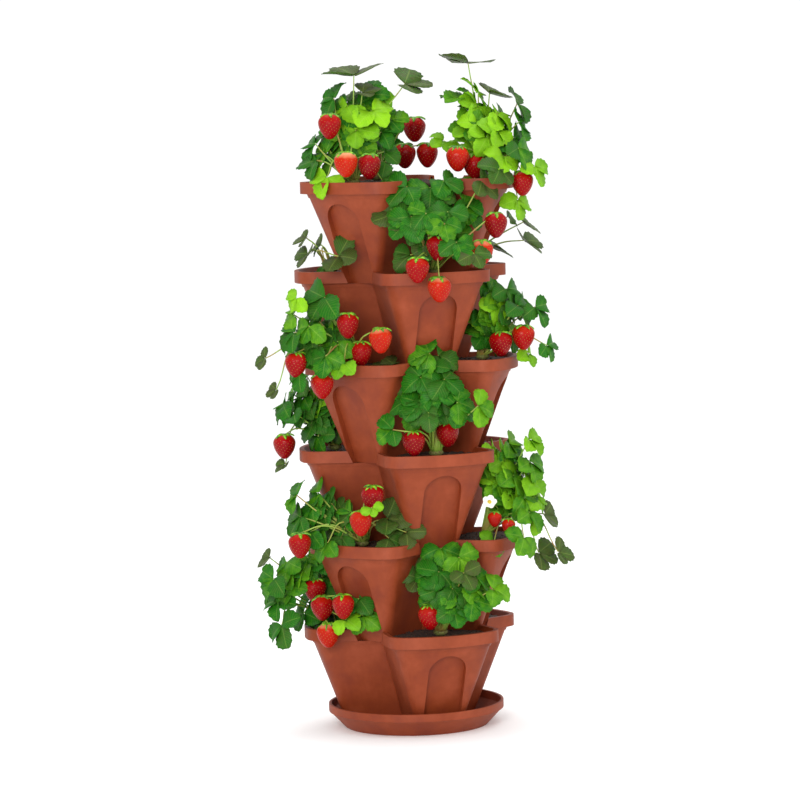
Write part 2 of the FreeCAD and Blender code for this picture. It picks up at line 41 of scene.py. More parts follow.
import bmesh
import bpy
from bpy.props import FloatProperty, FloatVectorProperty, IntProperty, PointerProperty
from mathutils import Matrix, Quaternion, Vector, noise
from mathutils.kdtree import KDTree

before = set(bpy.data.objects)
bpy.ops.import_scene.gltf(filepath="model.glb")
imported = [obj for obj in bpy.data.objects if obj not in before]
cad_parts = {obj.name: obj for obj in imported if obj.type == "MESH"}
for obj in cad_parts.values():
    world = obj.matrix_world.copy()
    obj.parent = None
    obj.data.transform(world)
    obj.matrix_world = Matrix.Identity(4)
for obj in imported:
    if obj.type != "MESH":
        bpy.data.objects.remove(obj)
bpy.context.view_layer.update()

MM = 0.001
WELD = 0.00001
FULL_TURN = 2 * pi

# The tower as its solids have it: tier 1 is the highest
TIERS = 6
POT_HEIGHT = 140 * MM
PITCH = 123 * MM
SAUCER_FLOOR = 3 * MM
EVEN_POCKETS = {"front": -90, "left": 150, "right": 30}
ODD_POCKETS = {"left": -150, "right": -30, "rear": 90}

# The crowns, in the middle of each pocket and a little under the rim
MIX_DROP = 6 * MM
CROWN_REACH = 105 * MM
CROWN_RADIUS = 10 * MM
CROWN_HEIGHT = 12 * MM

# Leaves lean outwards by so many degrees, but old ones far above the rim lie flat
LEAF_TILT = 48
OLD_LEAF_TILT = 15
OLD_TONE = 0.1
FLAT_ABOVE = 100 * MM
# A leaf moves this far aside at most, for a berry behind it to be seen
MOST_ASIDE = 12 * MM
# How far out from the plant's heart its inner leaves stand, and their scale
INNER_RINGS = ((0.84, 0.78), (0.6, 0.7))
# The leaves turn towards the light, which comes from the front and above
LIGHT_FROM = Vector((-0.3, -0.9, 0.3)).normalized()
LIGHT_PULL = 0.55

# Larger crumbs on each pot's mix, how fine its mesh is, and how deep it is heaved
CRUMBS = 260
MIX_GRID = 4 * MM
HEAVED_DEPTH = 5 * MM

# The photograph's view: far off, a little above the top tier's rim
LENS = 170.1
CAMERA_DISTANCE = 5.2
CAMERA_HEIGHT = 0.92
CAMERA_BEARING = -110
CAMERA_ROLL = -1.5
AIM_HEIGHT = 0.4522
AIM_ASIDE = 0.0116
LIT_HEIGHT = 0.45

Plant = namedtuple("Plant", "leaves berries blossom", defaults=((), None))
Leaf = namedtuple("Leaf", "place axes scale tone")

# Every leaf and berry is (side, out, up, scale, tone), in millimetres from the
# point over the pocket's crown at the height of the pot's rim: side is level
# and to the right for someone who faces the pocket from outside, out is away
# from the tower's axis. The tone runs from 0, an old olive leaf or a green
# berry, to 1, a bright new leaf or a berry of the deepest red.
PLANTS = {
    (1, "left"): Plant([
        (-13, -16, 142, 1.3, 0), (45, -78, 126, 1.15, 0), (14, -19, 119, 0.7, 0),
        (-22, -21, 110, 0.6, 0.1), (11, -23, 87, 0.85, 0.9), (7, 7, 81, 0.7, 0.8),
        (32, -54, 83, 0.7, 0.5), (-51, 3, 60, 0.6, 0.5), (-27, 11, 113, 0.8, 0.4),
        (-3, 12, 96, 0.85, 0.85), (36, -11, 91, 0.9, 0.95), (26, 9, 69, 0.8, 0.8),
        (29, -38, 68, 0.75, 0.35), (-55, 19, 52, 0.85, 0.3), (-43, 33, 28, 0.85, 0.3),
        (-11, 48, 3, 0.8, 0.85), (28, -43, 41, 0.7, 0.35), (47, -17, 2, 0.75, 0.25),
        (-26, -7, 76, 0.75, 0.55), (12, -47, 108, 0.7, 0.7)],
    [(0, 45, 75, 1, 0.8), (30, 48, 24, 1, 0.45), (47, 20, 20, 1, 0.95)]),
    (1, "right"): Plant([
        (22, 23, 109, 1, 0), (30, -22, 154, 1.15, 0), (1, 16, 75, 0.75, 0.8),
        (-18, -12, 58, 0.7, 0.85), (-18, 48, 36, 0.8, 0.35), (-4, 23, 43, 0.75, 0.8),
        (-7, -28, 42, 0.6, 0.85), (8, -26, 113, 0.85, 0.5), (-6, 1, 92, 0.8, 0.8),
        (36, 56, 93, 0.85, 0.25), (-10, 36, 81, 0.8, 0.85), (-26, 3, 64, 0.8, 0.95),
        (15, 60, 70, 0.75, 0.4), (-31, 32, 56, 0.8, 0.9), (-20, -48, 49, 0.6, 0.75),
        (6, 56, 46, 0.85, 0.3), (-39, 10, 39, 0.75, 0.85), (-11, 30, 31, 0.8, 0.35),
        (-29, 53, 16, 0.9, 0.4), (-44, 28, 14, 0.75, 0.9), (-16, 67, -3, 0.8, 0.8),
        (-53, -4, -11, 0.75, 0.55), (-21, 64, -35, 0.8, 0.8), (-51, 20, -13, 0.75, 0.15)],
    [(-60, -18, 26, 1, 0.6), (-35, 1, 15, 1, 0.8), (-22, 64, -10, 1, 0.75)]),
    (1, "rear"): Plant([
        (14, 15, 91, 0.9, 0.4), (36, 40, 69, 0.85, 0.5), (-13, -3, 65, 0.85, 0.45),
        (27, 26, 38, 0.9, 0.5), (7, -7, 107, 0.8, 0.35), (-36, 18, 33, 0.8, 0.5),
        (57, 14, 25, 0.8, 0.45)],
    [(-32, -70, 65, 1, 0.85), (-17, -70, 29, 1, 0.85), (-50, -70, 29, 1, 0.75)]),
    (2, "front"): Plant([
        (-47, 16, 111, 0.95, 0.3), (-6, 18, 106, 0.9, 0.42), (22, 14, 117, 0.8, 0.36),
        (-61, 9, 76, 0.85, 0.08), (-47, 27, 56, 0.9, 0.3), (-11, 34, 66, 0.85, 0.45),
        (31, 55, 52, 0.95, 0.42), (25, 32, 78, 0.8, 0.3), (-7, 52, 42, 0.75, 0.5),
        (-51, 36, 27, 0.75, 0.2), (10, 58, 19, 0.8, 0.4), (29, 76, 8, 0.7, 0.12),
        (-19, 7, 88, 0.8, 0.35), (63, 24, 85, 0.75, 0.3), (73, 24, 114, 0.8, 0.12)],
    [(75, 50, 60, 1, 0.95), (53, 52, 24, 1, 0.5), (-43, 62, 5, 1, 0.75), (-14, 66, -22, 1, 0.5),
     (-9, 50, 33, 1, 0.9)]),
    (2, "left"): Plant([
        (0, 36, 40, 0.55, 0), (14, 31, 17, 0.7, 0.04), (99, -39, 20, 0.9, 0.04),
        (-9, 16, 30, 0.55, 0.1), (29, -1, 4, 0.5, 0.15)]),
    (2, "right"): Plant([
        (-89, 56, 50, 0.8, 0), (-87, 60, 23, 0.95, 0), (-75, 36, 60, 0.55, 0.05),
        (-46, 44, 14, 0.8, 0.05)]),
    (3, "left"): Plant([
        (-45, 77, 88, 0.6, 0.9), (-8, 53, 76, 1.05, 0.3), (-43, 57, 56, 0.85, 0.4),
        (-47, 78, 35, 0.85, 0.35), (4, 56, 28, 0.8, 0.45), (-26, 63, 11, 0.8, 0.35),
        (4, 59, -2, 0.75, 0.4), (22, 49, -13, 0.65, 0.7), (-17, 71, 42, 0.75, 0.5),
        (-13, 44, 47, 0.85, 0.3), (-49, 62, 20, 0.8, 0.45), (-31, 41, 28, 0.85, 0.35),
        (-100, 81, 7, 0.5, 0), (-95, 66, -38, 0.45, 0), (-59, 70, 66, 0.7, 0.55),
        (-36, 79, -14, 0.75, 0.35)],
    [(29, 52, 54, 1, 0.85), (27, 25, 14, 1, 0.8), (-34, 88, 2, 1, 0.8), (-4, 70, -27, 1, 0.7),
     (72, 35, 34, 1, 0.5)]),
    (3, "right"): Plant([
        (-1, 6, 95, 0.75, 0.5), (-9, 41, 85, 0.85, 0.3), (-22, 25, 65, 0.7, 0.9),
        (15, 61, 71, 0.8, 0.42), (-10, 9, 35, 0.75, 0.45), (-19, 51, 51, 0.8, 0.28),
        (12, -4, 49, 0.75, 0.3), (-8, 77, 7, 0.6, 0.8), (-17, 66, -11, 0.7, 0.35),
        (18, 29, 34, 0.7, 0.3), (7, 47, 30, 0.75, 0.35), (-15, 3, 28, 0.75, 0.4),
        (4, 31, 75, 0.8, 0.5), (0, 65, 52, 0.8, 0.35), (-5, 16, 17, 0.65, 0.3)],
    [(-35, 31, 18, 1, 0.85), (-25, 61, 26, 1, 0.65)]),
    (3, "rear"): Plant([
        (-30, 35, 60, 0.77, 0.67), (30, 35, 70, 0.85, 0.62), (0, 50, 40, 0.95, 0.49),
        (-50, 45, 30, 0.77, 0.34), (50, 45, 25, 0.85, 0.47), (0, 20, 88, 0.95, 0.62)]),
    (4, "left"): Plant([
        (6, 46, 83, 0.8, 0.3), (21, 62, 47, 0.85, 0.38), (22, 19, 61, 0.8, 0.75),
        (27, 25, 30, 0.85, 0.3), (31, -21, 30, 0.75, 0.2), (38, 16, 11, 0.7, 0.35),
        (-9, 42, 95, 0.65, 0.45), (-7, 63, 69, 0.7, 0.5), (12, 43, 47, 0.85, 0.35),
        (18, -2, 45, 0.8, 0.3), (32, 42, 30, 0.8, 0.32), (0, 12, 78, 0.7, 0.4),
        (41, 68, -22, 0.45, 0)],
    [(45, 62, 4, 1, 0.85)]),
    (4, "front"): Plant([
        (-18, 8, 135, 0.85, 0.5), (14, 2, 128, 0.85, 0.3), (-34, 19, 101, 0.8, 0.4),
        (9, 35, 97, 0.85, 0.3), (-51, -13, 100, 0.65, 0.25), (-36, 25, 63, 0.85, 0.35),
        (23, 46, 68, 0.8, 0.5), (47, 59, 63, 0.75, 0.62), (-56, -27, 118, 0.85, 0),
        (-78, 26, 34, 0.72, 0.42), (-13, 35, 81, 0.8, 0.45), (-10, 17, 113, 0.75, 0.35),
        (3, 24, 54, 0.7, 0.3)],
    [(-42, 28, 16, 1, 0.95), (10, 18, 24, 1, 0.9)]),
    (5, "left"): Plant([
        (-81, 49, 64, 0.8, 0.5), (-69, 57, 31, 0.85, 0.35), (-63, 26, 63, 0.75, 0.42),
        (-48, 35, 41, 0.85, 0.38), (-50, 57, 13, 0.8, 0.35), (-22, 55, -2, 0.75, 0.45),
        (-26, 27, 20, 0.75, 0.15), (49, -10, 33, 0.95, 0.03), (71, -21, 15, 0.8, 0),
        (57, 1, 7, 0.75, 0.12), (57, 45, 45, 0.4, 0.8), (-79, 27, 43, 0.85, 0.45),
        (-75, 36, 25, 0.85, 0.4), (-56, 20, 18, 0.8, 0.35), (-15, 33, 4, 0.75, 0.2),
        (-25, 7, 21, 0.7, 0.12)],
    [(-40, 84, 2, 1, 0.8), (39, 48, 33, 1, 0.6), (48, 32, 66, 1, 0.95)]),
    (5, "right"): Plant([
        (5, 39, 119, 0.85, 0.6), (-4, 68, 125, 0.75, 0.8), (-3, 15, 116, 0.7, 0.85),
        (-20, 33, 97, 0.85, 0.75), (-10, 68, 93, 0.85, 0.55), (-20, 10, 95, 0.7, 0.6),
        (-24, 47, 76, 0.9, 0.45), (-13, 73, 70, 0.85, 0.75), (-33, 20, 68, 0.8, 0.7),
        (-28, 61, 45, 0.85, 0.55), (-17, 31, 43, 0.75, 0.75), (-3, 76, 46, 0.75, 0.8),
        (-25, 55, 17, 0.8, 0.5), (-10, 71, 17, 0.6, 0.75), (-59, 45, -12, 0.8, 0.5),
        (-67, 21, -5, 0.6, 0.6), (7, 85, 21, 0.75, 0), (-12, 80, -31, 0.9, 0),
        (-4, 104, -28, 0.7, 0), (16, 41, 53, 0.8, 0.5), (19, 62, 81, 0.8, 0.6)],
    [(-55, 20, 26, 0.62, 0.65), (-55, 39, 16, 0.62, 0.65)],
    (-60, 14, 50)),
    (5, "rear"): Plant([
        (30, 35, 60, 0.77, 0.34), (-30, 35, 70, 0.85, 0.55), (0, 50, 40, 0.95, 0.32),
        (50, 45, 30, 0.77, 0.48), (-50, 45, 25, 0.85, 0.58), (0, 20, 88, 0.95, 0.35)]),
    (6, "left"): Plant([
        (89, 79, 65, 0.95, 0.4), (66, 62, 85, 0.85, 0.5), (55, 36, 73, 0.8, 0.62),
        (54, 5, 93, 0.85, 0.35), (67, -23, 94, 0.8, 0.4), (25, 96, 89, 0.6, 0),
        (42, 20, 71, 0.8, 0.45), (103, -51, 43, 0.85, 0.35), (102, -58, 20, 0.75, 0.5),
        (97, -38, 1, 0.7, 0.85), (96, 61, 2, 0.9, 0.3), (47, 47, 14, 0.8, 0.35),
        (26, 5, 46, 0.85, 0.3), (56, 51, 38, 0.85, 0.45), (56, -27, 59, 0.8, 0.3),
        (72, 72, 31, 0.85, 0.35), (34, 31, -2, 0.75, 0.3), (38, -5, -1, 0.75, 0.35),
        (16, 22, 28, 0.85, 0.35), (27, -8, 20, 0.85, 0.3), (26, 41, 43, 0.9, 0.4),
        (81, -50, 56, 0.75, 0.35)],
    [(60, 22, 52, 1, 0.85), (86, 7, 31, 1, 0.8), (120, -29, 38, 1, 0.75), (95, -2, -5, 1, 0.5)]),
    (6, "front"): Plant([
        (-1, 14, 109, 0.85, 0.42), (24, 29, 98, 0.8, 0.6), (-14, 28, 80, 0.8, 0.35),
        (41, 46, 77, 0.8, 0.38), (61, 60, 59, 0.75, 0.62), (9, 43, 58, 0.85, 0.3),
        (34, 56, 46, 0.8, 0.4), (4, 41, 25, 0.75, 0.35), (19, 53, 80, 0.7, 0.08),
        (-32, -15, 75, 0.8, 0.05), (-17, 14, 51, 0.7, 0.3)],
    [(-24, 24, 24, 1, 0.75)]),
}


# Colours and materials

def linear(code):
    """An sRGB hex colour as linear red, green, blue and alpha."""
    channels = [int(code[start:start + 2], 16) / 255 for start in (1, 3, 5)]
    return tuple(level / 12.92 if level <= 0.04045 else ((level + 0.055) / 1.055) ** 2.4
                 for level in channels) + (1,)


def node(material, kind, links=(), stops=(), **settings):
    """Adds a node with its settings. Links are (input, source) pairs, and a
    source is a value, an output, or a node for the first output that it shows;
    stops are a colour ramp's (place, colour) pairs."""
    tree = material.node_tree
    made = tree.nodes.new("ShaderNode" + kind)
    for index, (place, colour) in enumerate(stops):
        elements = made.color_ramp.elements
        element = elements[index] if index < len(elements) else elements.new(place)
        element.position, element.color = place, colour
    for name, value in settings.items():
        setattr(made, name, value)
    for socket, source in links:
        if isinstance(source, bpy.types.Node):
            source = next(output for output in source.outputs if output.enabled)
        if isinstance(source, bpy.types.NodeSocket):
            tree.links.new(source, made.inputs[socket])
        else:
            made.inputs[socket].default_value = source
    return made


def new_material(name):
    """A new material, and its object's own coordinates for the patterns."""
    material = bpy.data.materials.new(name)
    material.use_nodes = True
    material.node_tree.nodes.clear()
    return material, node(material, "TexCoord").outputs["Object"]


def moulded_polypropylene(name, colours):
    """Injection-moulded terracotta-coloured polypropylene: a matt, faintly
    pebbled skin with soft clouding and chalky run marks down the walls."""
    material, place = new_material(name)
    clouds = node(material, "TexNoise", [("Vector", place), ("Scale", 1 / 0.045),
                                         ("Detail", 4.0), ("Roughness", 0.6)])
    tall = node(material, "Mapping", [("Vector", place), ("Scale", (1, 1, 0.12))])
    runs = node(material, "TexNoise", [("Vector", tall), ("Scale", 1 / 0.009), ("Detail", 3.0)])
    # Mould grain is about 0.3 mm: drawn at 0.8 mm so that it shows
    grain = node(material, "TexNoise", [("Vector", place), ("Scale", 1 / 0.0008), ("Detail", 2.0)])
    clouded = node(material, "ValToRGB", [("Fac", clouds)],
                   [(0.3, colours.terracotta_dark), (0.52, colours.terracotta),
                    (0.78, colours.terracotta_pale)])
    marks = node(material, "MapRange", [("Value", runs), ("From Min", 0.5), ("From Max", 0.75),
                                        ("To Min", 0.0), ("To Max", 0.16)])
    colour = node(material, "Mix", [("Factor", marks), ("A", clouded),
                                    ("B", colours.terracotta_pale)], data_type="RGBA")
    rough = node(material, "MapRange", [("Value", clouds), ("To Min", 0.5), ("To Max", 0.66)])
    bump = node(material, "Bump", [("Height", grain), ("Strength", 0.25), ("Distance", 0.00025)])
    shader = node(material, "BsdfPrincipled", [
        ("Base Color", colour), ("Roughness", rough), ("IOR", 1.49),
        ("Specular IOR Level", 0.3), ("Normal", bump)])
    node(material, "OutputMaterial", [("Surface", shader)])
    return material


def moist_potting_mix(dark, brown):
    """Moist peat and bark: crumbs of a few millimetres, dark with paler flecks, and painted shade
    in the crumbs' hollows.
    """
    material, place = new_material("moist_potting_mix")
    crumbs = node(material, "TexVoronoi", [("Vector", place), ("Scale", 1 / 0.004)])
    fibre = node(material, "TexNoise", [("Vector", place), ("Scale", 1 / 0.006),
                                        ("Detail", 6.0), ("Roughness", 0.7)])
    flecks = node(material, "TexNoise", [("Vector", place), ("Scale", 1 / 0.0025)])
    # The crumbs' tone sets both their colour and their bump's height, so the hollows take the dark
    # colour as painted shade
    tone = node(material, "Math", [(0, crumbs), (1, fibre)], operation="MULTIPLY")
    earth = node(material, "ValToRGB", [("Fac", tone)], [(0.05, dark), (0.5, brown)])
    fleck = node(material, "MapRange", [("Value", flecks), ("From Min", 0.68),
                                        ("From Max", 0.74), ("To Max", 0.6)])
    colour = node(material, "Mix", [("Factor", fleck), ("A", earth), ("B", linear("#8A6B49"))],
                  data_type="RGBA")
    bump = node(material, "Bump", [("Height", tone), ("Strength", 0.9), ("Distance", 0.002)])
    shader = node(material, "BsdfPrincipled",
                  [("Base Color", colour), ("Roughness", 0.92), ("Normal", bump)])
    node(material, "OutputMaterial", [("Surface", shader)])
    return material


def leaf_blade(old, mature, young):
    """A strawberry leaf's blade: waxy green, darker between pale veins that
    run from the midrib out to the teeth, olive on old leaves."""
    material, place = new_material("leaf_blade")
    blade_map = node(material, "UVMap", uv_map="blade")
    across = node(material, "SeparateXYZ", [("Vector", blade_map)])
    tone = node(material, "Attribute", attribute_name="tone").outputs["Fac"]
    mottle = node(material, "TexNoise", [("Vector", place), ("Scale", 1 / 0.008), ("Detail", 3.0)])
    uneven = node(material, "MapRange", [("Value", mottle), ("To Min", -0.2), ("To Max", 0.2)])
    age = node(material, "Math", [(0, tone), (1, uneven)], operation="ADD", use_clamp=True)
    blade = node(material, "ValToRGB", [("Fac", age)], [(0.0, old), (0.4, mature), (1.0, young)])
    # 0 on the midrib, 0.5 at the margin
    centred = node(material, "Math", [(0, across.outputs["X"]), (1, 0.5)], operation="SUBTRACT")
    side = node(material, "Math", [(0, centred)], operation="ABSOLUTE")
    midrib = node(material, "MapRange", [("Value", side), ("From Min", 0.012), ("From Max", 0.03),
                                         ("To Min", 1.0), ("To Max", 0.0)])
    slant = node(material, "Math", [(0, side), (1, -0.72), (2, across.outputs["Y"])],
                 operation="MULTIPLY_ADD")
    row = node(material, "Math", [(0, slant), (1, 9.0)], operation="MULTIPLY")
    turn = node(material, "Math", [(0, row), (1, 0.5)], operation="PINGPONG")
    lateral = node(material, "MapRange", [("Value", turn), ("From Min", 0.02), ("From Max", 0.1),
                                          ("To Min", 0.7), ("To Max", 0.0)])
    veins = node(material, "Math", [(0, midrib), (1, lateral)], operation="MAXIMUM")
    amount = node(material, "Math", [(0, veins), (1, 0.17)], operation="MULTIPLY")
    colour = node(material, "Mix", [("Factor", amount), ("A", blade), ("B", linear("#A9C45C"))],
                  data_type="RGBA")
    bump = node(material, "Bump", [("Height", turn), ("Strength", 0.35), ("Distance", 0.0008)])
    shader = node(material, "BsdfPrincipled", [
        ("Base Color", colour), ("Roughness", 0.45), ("IOR", 1.42), ("Specular IOR Level", 0.14),
        ("Subsurface Weight", 0.1), ("Subsurface Radius", (0.002, 0.004, 0.001)),
        ("Subsurface Scale", 1.0), ("Normal", bump)])
    node(material, "OutputMaterial", [("Surface", shader)])
    return material


def juicy_stalk(green, blush):
    """Petioles and fruit stalks: soft green, blushed where they leave the crown."""
    material, place = new_material("juicy_stalk")
    patches = node(material, "TexNoise", [("Vector", place), ("Scale", 1 / 0.02)])
    colour = node(material, "ValToRGB", [("Fac", patches)], [(0.42, green), (0.75, blush)])
    hairs = node(material, "TexNoise", [("Vector", place), ("Scale", 1 / 0.0006)])
    bump = node(material, "Bump", [("Height", hairs), ("Strength", 0.3), ("Distance", 0.0002)])
    shader = node(material, "BsdfPrincipled",
                  [("Base Color", colour), ("Roughness", 0.5), ("Normal", bump)])
    node(material, "OutputMaterial", [("Surface", shader)])
    return material


def ripe_fruit(pale, orange, red, deep):
    """Strawberry skin: wet-looking and dimpled, paler towards the calyx."""
    material, place = new_material("ripe_fruit")
    ripe = node(material, "Attribute", attribute_name="ripe").outputs["Fac"]
    blotch = node(material, "TexNoise", [("Vector", place), ("Scale", 1 / 0.012)])
    uneven = node(material, "MapRange", [("Value", blotch), ("To Min", -0.08), ("To Max", 0.08)])
    stage = node(material, "Math", [(0, ripe), (1, uneven)], operation="ADD", use_clamp=True)
    colour = node(material, "ValToRGB", [("Fac", stage)],
                  [(0.0, pale), (0.3, orange), (0.68, red), (1.0, deep)])
    pores = node(material, "TexNoise", [("Vector", place), ("Scale", 1 / 0.0012)])
    bump = node(material, "Bump", [("Height", pores), ("Strength", 0.15), ("Distance", 0.0003)])
    shader = node(material, "BsdfPrincipled", [
        ("Base Color", colour), ("Roughness", 0.3), ("IOR", 1.4), ("Specular IOR Level", 0.12),
        ("Coat Weight", 0.07), ("Coat Roughness", 0.1),
        ("Subsurface Weight", 0.05), ("Subsurface Radius", (0.006, 0.0015, 0.001)),
        ("Subsurface Scale", 1.0), ("Normal", bump)])
    node(material, "OutputMaterial", [("Surface", shader)])
    return material


def speckled(name, first, second, grain, roughness):
    """A plain surface that wanders between two near colours."""
    material, place = new_material(name)
    speck = node(material, "TexNoise", [("Vector", place), ("Scale", 1 / grain)])
    colour = node(material, "ValToRGB", [("Fac", speck)], [(0.35, first), (0.65, second)])
    bump = node(material, "Bump", [("Height", speck), ("Strength", 0.25), ("Distance", 0.0003)])
    shader = node(material, "BsdfPrincipled",
                  [("Base Color", colour), ("Roughness", roughness), ("Normal", bump)])
    node(material, "OutputMaterial", [("Surface", shader)])
    return material


# Meshes

def as_mesh(name, source, materials=()):
    """A mesh from a bmesh, which ends with this."""
    mesh = bpy.data.meshes.new(name)
    source.to_mesh(mesh)
    source.free()
    for material in materials:
        mesh.materials.append(material)
    return mesh


def in_scene(name, content):
    """A new object in the scene."""
    made = bpy.data.objects.new(name, content)
    bpy.context.scene.collection.objects.link(made)
    return made


def as_piece(name, source, materials, body, cad_node):
    """A finished piece that rides on its body and stands for a CAD node."""
    piece = in_scene(name, as_mesh(name, source, materials))
    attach(piece, body)
    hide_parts(cad_node)
    return piece


def finish(faces, index=0):
    """Shades faces smooth in one of their piece's materials."""
    for face in faces:
        face.smooth = True
        face.material_index = index


def faces_at(verts):
    return {face for vert in verts for face in vert.link_faces}


def merged_copy(cad_node):
    """A CAD node's mesh as one welded bmesh, its flat faces whole again."""
    source = bmesh.new()
    source.from_mesh(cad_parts[cad_node].data)
    for layer in list(source.loops.layers.uv):
        source.loops.layers.uv.remove(layer)
    bmesh.ops.remove_doubles(source, verts=source.verts, dist=WELD)
    bmesh.ops.dissolve_limit(source, angle_limit=radians(0.5), verts=source.verts,
                             edges=source.edges)
    finish(source.faces)
    return source


def soften(piece, width, sharp=35):
    """Rounds the edges as a mould's small radii do and keeps flats flat."""
    bevel = piece.modifiers.new("moulded_edges", "BEVEL")
    bevel.width = width
    bevel.segments = 2
    bevel.limit_method = "ANGLE"
    bevel.angle_limit = radians(sharp)
    bevel.use_clamp_overlap = True
    normals = piece.modifiers.new("flat_faces", "WEIGHTED_NORMAL")
    normals.keep_sharp = True


def pocket_turn(tier, pocket):
    """From a pocket's own space, in which it lies along +X, to its place in the tower."""
    angle = (ODD_POCKETS if tier % 2 else EVEN_POCKETS)[pocket]
    height = SAUCER_FLOOR + (TIERS - tier) * PITCH
    return Matrix.Translation((0, 0, height)) @ Matrix.Rotation(radians(angle), 4, "Z")


def place_of(spot):
    side, out, up = (value * MM for value in spot[:3])
    return Vector((CROWN_REACH + out, side, POT_HEIGHT + up))


def leaf_axes(place, light, lean, swing):
    """Directions along, across and square to a leaf that faces up, outwards and
    to the light; swing turns it on its own stalk."""
    away = Vector((place.x, place.y, 0)).normalized()
    spread = Vector((place.x - CROWN_REACH, place.y, 0))
    spread = spread.normalized() if spread.length > MM else away
    tilt = radians(lean)
    normal = Vector((0, 0, cos(tilt))) + away * sin(tilt) + spread * 0.25
    normal = (normal + light * LIGHT_PULL * sin(tilt)).normalized()
    along = (spread - normal * spread.dot(normal)).normalized()
    along.rotate(Quaternion(normal, radians(swing)))
    return along, normal.cross(along), normal


def beside_berries(place, axes, reach, berries, sizes):
    """Moves a leaf along its own normal until its blade clears each berry."""
    normal = axes[2]
    for spot in berries:
        offset = place - place_of(spot)
        beside = offset.dot(normal)
        # A leaf in front of a berry droops towards it
        room = 1.1 * sizes.berry_radius * spot[3] + 1.2 * MM
        room += 0.22 * reach if beside > 0 else 0
        level = (offset - normal * beside).length
        if abs(beside) < room and level < reach + room:
            place = place + normal * (copysign(room, beside) - beside)
    return place


def covered(centre, light, reach, spot, sizes):
    """How far to move a leaf sideways for a berry behind it to be seen."""
    offset = centre - place_of(spot)
    depth = offset.dot(light)
    sideways = offset - light * depth
    missing = 0.7 * reach + 0.7 * sizes.berry_radius * spot[3] - sideways.length
    if depth < 0 or missing <= 0 or sideways.length < MM:
        return Vector((0, 0, 0))
    return sideways.normalized() * min(missing, MOST_ASIDE)


def frame_matrix(origin, along, across, normal):
    matrix = Matrix((along, across, normal)).transposed().to_4x4()
    matrix.translation = origin
    return matrix


def blade_half_width(along):
    """A leaflet's half width at a share of its length: a wedge at the foot,
    broadest past the middle, and rounded at the tip."""
    return max(0.1, along ** 0.7 * (1 - along) ** 0.6 / 0.407)


def add_leaflet(target, layers, matrix, length, width, tone, teeth, chance):
    """One toothed leaflet, folded along its midrib and drooping to its tip; old
    ones are nearly flat."""
    columns = 2 * teeth
    grid = bmesh.ops.create_grid(target, x_segments=columns, y_segments=2, size=0.5)["verts"]
    bend = 1 if tone > OLD_TONE else 0.35
    droop, fold = bend * chance.uniform(0.1, 0.36), bend * chance.uniform(0.1, 0.45)
    wave, twist = chance.uniform(0, 6.28), chance.uniform(-0.1, 0.1)
    spots = {vert: (vert.co.x + 0.5, 2 * vert.co.y) for vert in grid}
    rounded = {vert: 1 - (1 - share) ** 1.4 for vert, (share, side) in spots.items()}
    for face in faces_at(grid):
        face.smooth = True
        for loop in face.loops:
            loop[layers["uv"]].uv = (0.5 + spots[loop.vert][1] / 2, rounded[loop.vert])
    for vert, (share, side) in spots.items():
        vert[layers["tone"]] = max(0, tone)
        along = rounded[vert]
        half = 0.5 * width * blade_half_width(along)
        reach = along * length
        if round(share * columns) % 2 and share > 0.2:
            half *= 1 + 0.12 * abs(side)
            reach += 0.03 * length * abs(side)
        height = fold * abs(side) * half - droop * length * along ** 2
        height += 0.07 * bend * length * abs(side) * sin(5 * along + wave + 1.5 * side)
        vert.co = Vector((reach, half * side + twist * length * along ** 2, height))
    bmesh.ops.transform(target, matrix=matrix, verts=grid)


def add_leaf(target, layers, leaf, sizes, chance):
    """Three leaflets about the petiole's end."""
    hub = frame_matrix(leaf.place, *leaf.axes)
    length, width = sizes.leaflet_length * leaf.scale, sizes.leaflet_width * leaf.scale
    for turn in (-1, 0, 1):
        angle = radians(turn * (78 + chance.uniform(-10, 8)) + chance.uniform(-5, 5))
        pitch = radians(chance.uniform(-10, 14) if leaf.tone > OLD_TONE
                             else chance.uniform(-26, -8))
        own = chance.uniform(0.88, 1.08)
        place_leaflet = (hub @ Matrix.Rotation(angle, 4, "Z") @ Matrix.Rotation(pitch, 4, "Y")
                         @ Matrix.Translation((1.2 * MM, 0, 0)))
        add_leaflet(target, layers, place_leaflet, length * own, width * own,
                    leaf.tone + chance.uniform(-0.09, 0.09), sizes.teeth, chance)


def add_stalks(target, paths, radius):
    """Tapering tubes along smooth paths, closed at both ends."""
    curve = bpy.data.curves.new("stalks", "CURVE")
    curve.dimensions = "3D"
    curve.bevel_depth = radius
    curve.bevel_resolution = 2
    curve.resolution_u = 7
    curve.use_fill_caps = True
    for points in paths:
        spline = curve.splines.new("BEZIER")
        spline.bezier_points.add(len(points) - 1)
        for knot, point, thick in zip(spline.bezier_points, points, (1.15, 0.9, 0.62)):
            knot.co = point
            knot.radius = thick
            knot.handle_left_type = knot.handle_right_type = "AUTO"
    holder = bpy.data.objects.new("stalks", curve)
    mesh = bpy.data.meshes.new_from_object(holder)
    before = set(target.faces)
    target.from_mesh(mesh)
    tubes = set(target.faces) - before
    finish(tubes, 1)
    ends = {vert for face in tubes for vert in face.verts}
    bmesh.ops.remove_doubles(target, verts=list(ends), dist=WELD)
    bpy.data.objects.remove(holder)
    bpy.data.curves.remove(curve)
    bpy.data.meshes.remove(mesh)


def add_crown(target, foot):
    """A knobbly crown of old leaf bases, sunk a little way in the mix."""
    ball = bmesh.ops.create_icosphere(target, subdivisions=3, radius=1.0)["verts"]
    for vert in ball:
        scales = 1 + 0.12 * sin(9 * atan2(vert.co.y, vert.co.x) + 4 * vert.co.z)
        height = CROWN_HEIGHT * (0.5 + 0.5 * vert.co.z)
        radius = CROWN_RADIUS * 0.94 * scales * (1 - 0.3 * max(0, vert.co.z))
        vert.co = foot + Vector((vert.co.x * radius, vert.co.y * radius, height))
    finish(faces_at(ball), 2)


